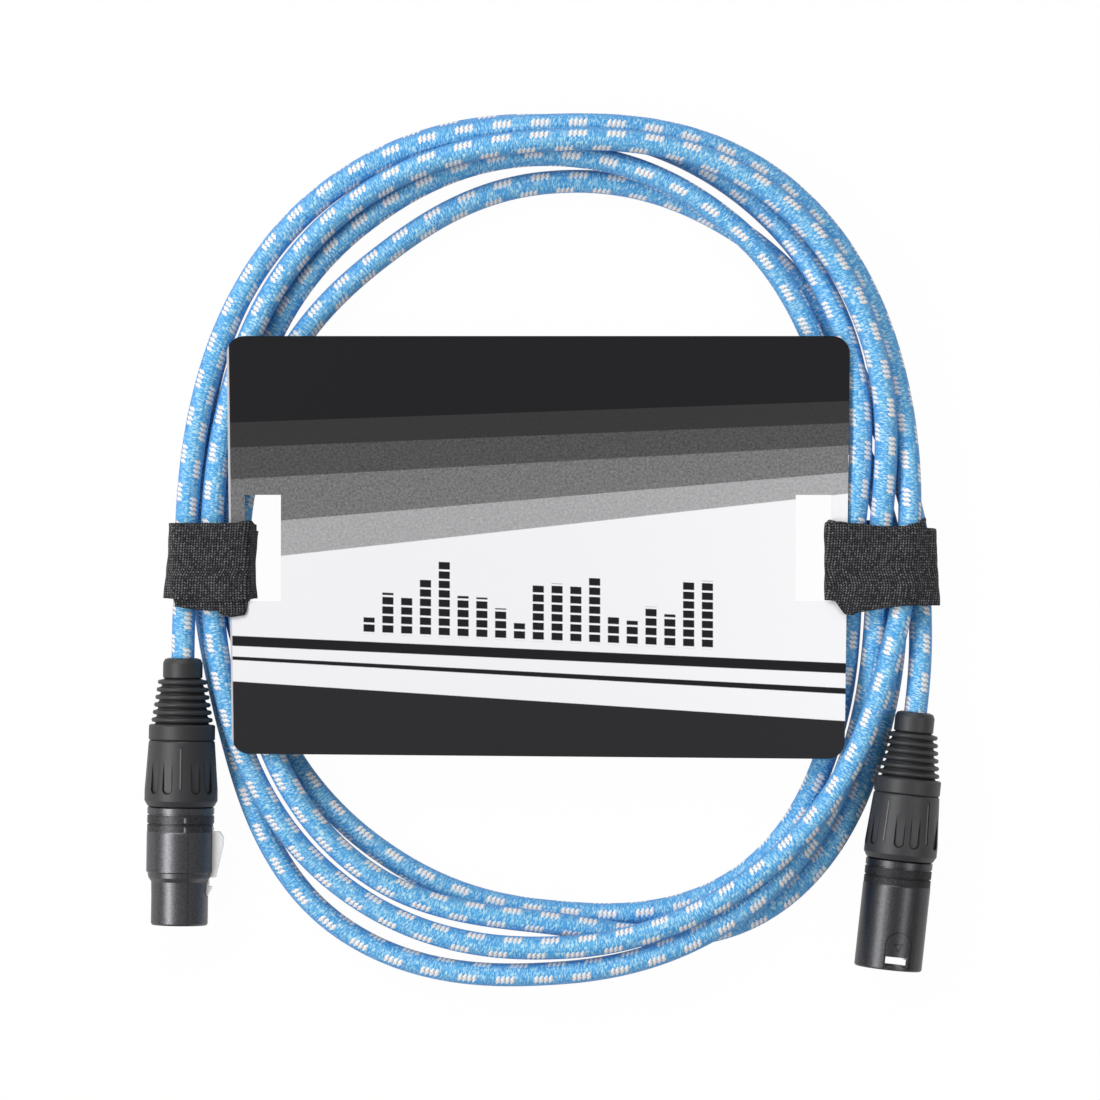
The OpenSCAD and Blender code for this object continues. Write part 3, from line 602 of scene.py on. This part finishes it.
def band(name, side, inner, bulge, upper, lower, back):
    """One layer of tape: a ring with its own upper and lower edges."""
    cuts = [outline(LOW + (HIGH - LOW) * i / (SECTIONS - 1), side, inner,
                    bulge) for i in range(SECTIONS)]

    def at(j, y):
        """Point j of the layer at y, between its two nearest cuts."""
        f = (y - LOW) / (HIGH - LOW) * (SECTIONS - 1)
        i = max(0, min(SECTIONS - 2, int(f)))
        return cuts[i][0][j].lerp(cuts[i + 1][0][j], f - i)

    grid = bmesh.new()
    lay = grid.loops.layers.uv.new("tape")
    columns = []
    for j in range(RING):
        x, z = at(j, MIDDLE)
        a = (x - SLOT_EDGE[side]) * side
        y1, y0 = upper[0][1], lower[0][1] if z > UNDERSIDE else back
        if z > TOP_SIDE or a > FAR_OUT:
            # each edge is read where the tape lies at that edge
            high_a, low_a = ((at(j, y).x - SLOT_EDGE[side]) * side
                             for y in EDGES)
            y1, y0 = level(upper, high_a), level(lower, low_a)
        column = []
        for k in range(TAPE_ROWS + 1):
            y = y0 + (y1 - y0) * k / TAPE_ROWS
            x, z = at(j, y)
            wave = 0.07 * math.sin(y * 0.9 + j * 0.21) \
                + 0.05 * math.sin(y * 0.37 - j * 0.33)
            out = at((j + 1) % RING, y) - at(j - 1, y)
            out = Vector((out.y, -out.x)).normalized() * wave
            if side > 0:
                out = -out
            # the ripples stay off the table and out of the slot
            if z > 1.2 and abs(a) > 0.9:
                x, z = x + out.x, z + abs(out.y)
            column.append(grid.verts.new((x * MM, y * MM, z * MM)))
        columns.append(column)
    girth = cuts[SECTIONS // 2][1]
    for j in range(RING):
        here, there = columns[j], columns[(j + 1) % RING]
        for k in range(TAPE_ROWS):
            face = grid.faces.new((here[k], there[k], there[k + 1],
                                   here[k + 1]))
            face.smooth = True
            for corner, (m, v) in zip(face.loops, (
                    (j, here[k]), (j + 1, there[k]),
                    (j + 1, there[k + 1]), (j, here[k + 1]))):
                corner[lay].uv = (m / RING * girth, v.co.y / MM)
    piece = piece_from(grid, name)
    bpy.ops.object.select_all(action="DESELECT")
    bpy.context.view_layer.objects.active = piece
    piece.select_set(True)
    thick = piece.modifiers.new("thickness", "SOLIDIFY")
    thick.thickness, thick.offset = TAPE * MM, 1
    bpy.ops.object.modifier_apply(modifier=thick.name)
    soft = piece.modifiers.new("soft_edge", "BEVEL")
    soft.width, soft.segments = 0.2 * MM, 2
    soft.limit_method, soft.angle_limit = "ANGLE", math.radians(60)
    bpy.ops.object.modifier_apply(modifier=soft.name)
    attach(piece, "hank")
    return piece


# each edge's corners, as how far from the slot and at what height
band("strap_left_under", -1, 0, 0, [(-9, 2.5), (-2.4, 6.2), (30, 6.2)],
     [(-0.6, -13.5), (-0.3, -18), (2.8, -18.6), (4.4, -18.5), (6, -17.8),
      (7.2, -16.9), (9.3, -16.8), (14.3, -16.4), (18.7, -15.6),
      (18.9, -13.5)], -14.6)
left_top = band(
    "strap_left_top", -1, TAPE, 2.2,
    [(-9, 5.4), (-2.3, 7.2), (-1.5, 8.2), (0.6, 7.9), (2, 7.5)],
    [(-2.8, -13.5), (0, -13.9), (8.3, -14.2), (15, -13.75),
     (22.5, -13.4)], -13.6)
band("strap_right_under", 1, 0, 0,
     [(20.4, 6), (21, 7), (23.6, 7.6), (24.6, 8.7), (25.4, 8.1),
      (25.6, 6)],
     [(-9, -13.2), (1, -13.2), (8, -14.8)], -14.2)
right_top = band(
    "strap_right_top", 1, TAPE, 1.5,
    [(-1.9, 7.9), (1, 7.9), (5, 7.5), (9.5, 7.3), (12, 6.8),
     (14.5, 6.6), (21, 6.7), (25.6, 6.2), (29, 5.8)],
    [(-2.4, -13.8), (0.6, -14.1), (1.4, -15), (3.1, -17), (3.9, -17.7),
     (4.8, -18), (6.4, -18), (7.3, -17.4), (13.8, -16.3),
     (20.6, -15.4)], -14.8)
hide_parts("strap_left")
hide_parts("strap_right")

# columns of the weave, and the stitches up each of them
WALE, STITCH = 0.74, 0.72
# the tape's black, and the pale colour painted on it as highlights
TAPE_DARK, TAPE_HIGHLIGHT = (0.008, 0.008, 0.010), (0.33, 0.33, 0.35)
tape = Finish("woven_tape", roughness=0.82, specular_ior_level=0.2,
              sheen_weight=0.06, sheen_roughness=0.5)
u, v, _ = tape.split(tape.node("UVMap", {"uv_map": "tape"}))
wale = (u / WALE).math("FLOOR")
across = u / WALE - wale - 0.5
climb = v / STITCH + across * ((wale % 2.0) * 2 - 1) * 0.7
rung = climb.math("FLOOR")
puff = ((climb - rung - 0.5) * math.pi).math("COSINE") \
    * (across * math.pi).math("COSINE")
each = tape.chance(rung, wale)
fuzz = tape.noise(tape.vector(u * 2.4, v * 1.1), 1.0, 3, 0.6)
# painted highlights: the tops of the stitches are lightened at random, where
# they catch the light
painted_glint = puff * puff * (each * 0.85 + 0.15) * (fuzz * 2.6 - 0.5)
tape.feed("Base Color", tape.mix(
    painted_glint.math("MAXIMUM", 0.0).math("MINIMUM", 1.0),
    TAPE_DARK, TAPE_HIGHLIGHT))
tape.bump(puff + fuzz * 0.6, 0.2, 0.8)
onto(tape, "strap_left_under", "strap_left_top", "strap_right_under",
     "strap_right_top")

# ---------------------------------------------------------------- shells
# Turned metal shells, plated satin black, with a threaded tail for the
# nut, a rear band with two rings, and a slim nose or an open mouth.

# the matt rear band, and the widths of hard and harder edges
SHELL_Z, BAND_FROM, BAND_TO = 41.2, 2.5, 7
HARD, HARDER = 0.12, 0.08
# two bright marks across the female shell's band, and a seam beside them
MARK_X, MARK_STARTS, MARK_LONG, MARK_HALF = 1.7, (2.9, 5.5), 1.4, 0.25
SEAM_X, SEAM_HALF = 2.7, 0.1
# a line round the arch behind the male shell's mouth, which stands a
# little across because the plug lies rolled
MOUTH_Z, ARCH_X, ARCH_R, ARCH_BACK, LINE_HALF = 71.6, 1.7, 3.6, 7, 0.16
# an outlined point in the arch: its tip and feet from the mouth, half
# its width to its length, and its outline
TIP, FOOT_OUT, FOOT_IN, TAPER, OUTLINE = 4.9, 7.6, 7.2, 0.55, 0.42


def on_plug(finish, plug):
    """Millimetres across and down a plug from its boot's end, and up."""
    x0, y0, lean = plug
    cos, sin = math.cos(math.radians(lean)), math.sin(math.radians(lean))
    x, y, z = finish.split(finish.place())
    x, y = x * 1000 - OVAL_X - x0, y * 1000 - y0
    return x * cos + y * sin, x * sin - y * cos, z * 1000 - AXIS_Z


# each shell, a factor on its colour, and how much rougher its band is; the
# male shell's colour is painted darker, as shade for the less light that
# reaches it
for name, plug, painted_dimming, blast in (
        ("female_shell", SOCKET_PLUG, 1, 0.1),
        ("male_shell", PIN_PLUG, 0.58, 0.2)):
    plating = Finish(name + "_plating", metallic=1.0)
    across, down, up = on_plug(plating, plug)
    fine = plating.noise(plating.place(), 2200, 3, 0.7)
    up_band = down - SHELL_Z
    matt = edge(up_band - BAND_FROM, HARD) * edge(BAND_TO - up_band, HARD)
    bright = 0
    if name == "female_shell":
        off_mark = (across - MARK_X).math("ABSOLUTE")
        for start in MARK_STARTS:
            run = up_band - start
            bright = edge((MARK_HALF - off_mark).math("MINIMUM", run).math(
                "MINIMUM", MARK_LONG - run), HARD) + bright
        cut = edge(SEAM_HALF - (across - SEAM_X).math("ABSOLUTE"), 0.1)
    else:
        beside = across - ARCH_X
        to_mouth = MOUTH_Z - down
        back = (ARCH_BACK - to_mouth).math("MINIMUM", 0.0)
        arch = (beside * beside + back * back).math("SQRT")
        line = edge(LINE_HALF - (arch - ARCH_R).math("ABSOLUTE"), HARDER)
        taper = (to_mouth - TIP) * TAPER - beside.math("ABSOLUTE")
        point = edge(taper.math("MINIMUM", FOOT_OUT - to_mouth), HARDER)
        inner = edge((taper - OUTLINE).math(
            "MINIMUM", FOOT_IN - to_mouth), HARDER)
        cut = line.math("MAXIMUM", point - inner) * edge(up - 6, 0.5)
    dull = matt.math("MAXIMUM", cut)
    # painted shade: the colour darkens along the sides that turn from the eye
    shade = (fine * 0.24 + 0.03 - dull * 0.06 + bright * 0.5) \
        * (1 - plating.away(0.3) * 0.75) * painted_dimming
    plating.feed("Base Color", grey(plating, shade, 1.06))
    plating.feed("Roughness", fine * 0.14 + 0.31 + matt * blast)
    plating.bump(fine, 0.016, 0.6)
    onto(plating, name)

# --------------------------------------------------------------- inserts
# Carriers moulded from black plastic, which hold the three contacts in
# their keyed places and are pushed into the shells.


def mottled(finish, mottle, dark, pale, rough, spread):
    """Gives a finish two colours and a roughness that vary together."""
    finish.feed("Base Color", finish.mix(mottle, dark, pale))
    finish.feed("Roughness", rough + mottle * spread)


moulding = Finish("insert_moulding", specular_ior_level=0.4)
mottle = moulding.noise(moulding.place(), 1500, 3, 0.6)
mottled(moulding, mottle, (0.016, 0.016, 0.018), (0.03, 0.03, 0.034),
        0.5, 0.15)
moulding.bump(mottle, 0.02, 0.4)
onto(moulding, "female_insert", "male_insert")

# -------------------------------------------------------------- contacts
# Pins plated with silver and sockets flashed with gold, each turned with
# a cup for its conductor.
for metal, piece, dark, pale, rough in (
        ("silver_plate", "male_pin_", (0.62, 0.62, 0.64),
         (0.8, 0.8, 0.81), 0.2),
        ("gold_flash", "female_contact_", (0.66, 0.42, 0.14),
         (0.83, 0.60, 0.26), 0.22)):
    plate = Finish(metal, metallic=1.0)
    rub = plate.noise(plate.place(), 2400, 3, 0.6)
    mottled(plate, rub, dark, pale, rough, 0.15)
    onto(plate, piece + "1", piece + "2", piece + "3")

# ----------------------------------------------------------------- latch
# A pressed and nickelled lever with a grooved thumb tab, its steel pivot
# pin, and the torsion spring wound round the pin.
nickel = Finish("nickel", metallic=0.15)
px, py, pz = nickel.split(nickel.place())
brushing = nickel.noise(nickel.vector(px * 6, py * 0.4, pz * 6), 1200, 2)
mottled(nickel, brushing, (0.9, 0.9, 0.9), (0.97, 0.97, 0.97), 0.3, 0.16)
nickel.bump(brushing, 0.01, 0.4)
onto(nickel, "latch_lever", "latch_pin", "latch_spring")

# ---------------------------------------------------------------- chucks
# Slit jaws moulded from undyed nylon, which the nut closes on the cable
# as it is screwed home.
nylon = Finish("natural_nylon", subsurface_weight=0.1)
cloud = nylon.noise(nylon.place(), 500, 3, 0.5)
mottled(nylon, cloud, (0.6, 0.59, 0.53), (0.72, 0.71, 0.66), 0.45, 0.12)
onto(nylon, "female_chuck", "male_chuck")

# ------------------------------------------------------------------ nuts
# Moulded back nuts. Pairs of finger grooves run out to the boot, with a
# dark line painted as shade round each, and a highlight painted beside
# each crease between the pairs.
NUT_Z, NUT_R = 23.0, 9.9
# degrees from pair to pair and from a pair's middle to its grooves
PAIR, APART = 72.0, 12.5
# where the grooves start and end down the nut, half their width, and half the
# width of the painted shade line round them
GROOVE_TOP, GROOVE_END, GROOVE_HALF, RIM_SHADE_HALF = 5.0, 13.2, 1.3, 0.14
# the painted highlight beside each crease: how far from the crease, half its
# width, and where it starts and ends down the nut
CREASE_LIGHT_X, CREASE_LIGHT_HALF, CREASE_LIGHT_TOP, CREASE_LIGHT_END = 0.38, 0.16, 2, 13
NUT_DARK, NUT_PALE = (0.016, 0.0165, 0.018), (0.03, 0.0305, 0.034)
# the groove floor's tint, the painted shade of the line round each groove, and
# the painted highlight beside each crease
FLOOR_TINT, RIM_SHADE_TINT = (0.045, 0.0455, 0.049), (0.001, 0.001, 0.002)
CREASE_LIGHT_TINT = (0.17, 0.17, 0.175)
# millimetres round the nut to a degree
ROUND = NUT_R * math.pi / 180
for name, plug, turned in (("female_nut", SOCKET_PLUG, 122),
                           ("male_nut", PIN_PLUG, 85)):
    skin = Finish(name + "_moulding", specular_ior_level=0.7)
    pebble = skin.noise(skin.place(), 1900, 3, 0.65)
    across, down, up = on_plug(skin, plug)
    down = down - NUT_Z
    angle = up.math("ARCTAN2", across) * (180 / math.pi) - turned
    from_crease = (angle + PAIR / 2) % PAIR
    beside = ((from_crease - PAIR / 2).math("ABSOLUTE") - APART) * ROUND
    past = (down - GROOVE_END).math("MAXIMUM", 0.0)
    inside = GROOVE_HALF - (beside * beside + past * past).math("SQRT")
    fade = edge(down - GROOVE_TOP - 2, 4)
    # painted shade: a near-black line round each groove, which is also rougher
    # and sunk by the bump
    rim_shade = edge(RIM_SHADE_HALF - inside.math("ABSOLUTE"), HARD) * fade
    floor = edge(inside, HARD) * fade
    # painted highlight: a pale line beside each crease, where its rounded edge
    # catches the light
    crease = (from_crease * ROUND - CREASE_LIGHT_X).math("ABSOLUTE")
    crease_light = edge((CREASE_LIGHT_HALF - crease).math("MINIMUM", down - CREASE_LIGHT_TOP).math(
        "MINIMUM", CREASE_LIGHT_END - down), 0.14)
    tint = skin.mix(pebble, NUT_DARK, NUT_PALE)
    tint = skin.mix(floor * 0.6, tint, FLOOR_TINT)
    tint = skin.mix(rim_shade, tint, RIM_SHADE_TINT)
    skin.feed("Base Color", skin.mix(crease_light * 0.9, tint, CREASE_LIGHT_TINT))
    skin.feed("Roughness", 0.46 + pebble * 0.12 + rim_shade * 0.4)
    skin.bump(pebble - rim_shade * 7, 0.025, 0.5)
    onto(skin, name)

# ----------------------------------------------------------------- boots
# Boots moulded from soft black rubber with six ribs and a collar, which
# keep the cable from kinking where it enters the nuts.
rubber = Finish("boot_rubber", specular_ior_level=0.7)
bloom = rubber.noise(rubber.place(), 800, 4, 0.65)
mottled(rubber, bloom, (0.014, 0.0145, 0.016), (0.028, 0.0285, 0.031),
        0.46, 0.14)
rubber.bump(rubber.noise(rubber.place(), 3600, 2), 0.02, 0.4)
onto(rubber, "female_boot", "male_boot")

# ----------------------------------------------------------------- cores
# The stripped end of the cable: two insulated conductors and the screen
# twisted into a drain wire.
for number, name, metal, dark, pale in (
        ("1", "red", 0.0, (0.34, 0.02, 0.02), (0.5, 0.04, 0.035)),
        ("2", "white", 0.0, (0.62, 0.62, 0.6), (0.78, 0.78, 0.77)),
        ("3", "drain", 1.0, (0.42, 0.2, 0.09), (0.68, 0.36, 0.19))):
    skin = Finish("core_" + name, roughness=0.4, metallic=metal)
    streak = skin.noise(skin.place(), 1600, 3)
    skin.feed("Base Color", skin.mix(streak, dark, pale))
    onto(skin, "female_core_" + number, "male_core_" + number)

# ---------------------------------------------------------------- studio
# A white table under broad soft light from above, a little from the left.
bpy.ops.mesh.primitive_plane_add(size=4, location=(0, 0, 0))
table = bpy.context.object
table.name = "table"
top = Finish("table_top", roughness=0.9, base_color=(0.9, 0.9, 0.9))
# the eye, and what mirrors or lets light through, see it plain white
seen = top.node("LightPath", output="Is Camera Ray")
for ray in ("Is Glossy Ray", "Is Transmission Ray"):
    seen = seen.math("MAXIMUM", top.node("LightPath", output=ray))
white_table = top.node("MixShader", {}, {
    0: seen * 0.98, 1: Wire(top.tree, top.shader.outputs[0]),
    2: top.node("Emission", {}, {"Color": (1, 1, 1)})})
join(top.tree, top.tree.nodes["Material Output"].inputs[0], white_table)
onto(top, "table")


def softbox(name, place, aim, size, power, spread=180):
    """A lamp that faces a point; size is its width and level length."""
    lamp = bpy.data.lights.new(name, "AREA")
    lamp.shape, lamp.energy = "RECTANGLE", power
    lamp.size_y, lamp.size = size
    lamp.spread = math.radians(spread)
    stand = bpy.data.objects.new(name, lamp)
    stand.location = place
    stand.rotation_euler = (Vector(aim) - Vector(place)).to_track_quat(
        "-Z", "Y").to_euler()
    bpy.context.scene.collection.objects.link(stand)


softbox("key", (-1.6, 0.2, 1.75), (0, 0, 0), (0.8, 3.4), 52)
softbox("fill", (-0.2, 1.3, 1.3), (0, 0, 0), (0.8, 0.8), 7)
softbox("strip", (0.45, -0.1, 0.5), (0.11, -0.1, 0), (0.12, 0.4), 0.03, 22)
sky = bpy.data.worlds.new("room")
bpy.context.scene.world = sky
sky.use_nodes = True
air = sky.node_tree.nodes["Background"].inputs
air["Color"].default_value = (1, 1, 1, 1)
air["Strength"].default_value = 0.3
bpy.context.scene.view_settings.view_transform = "Standard"
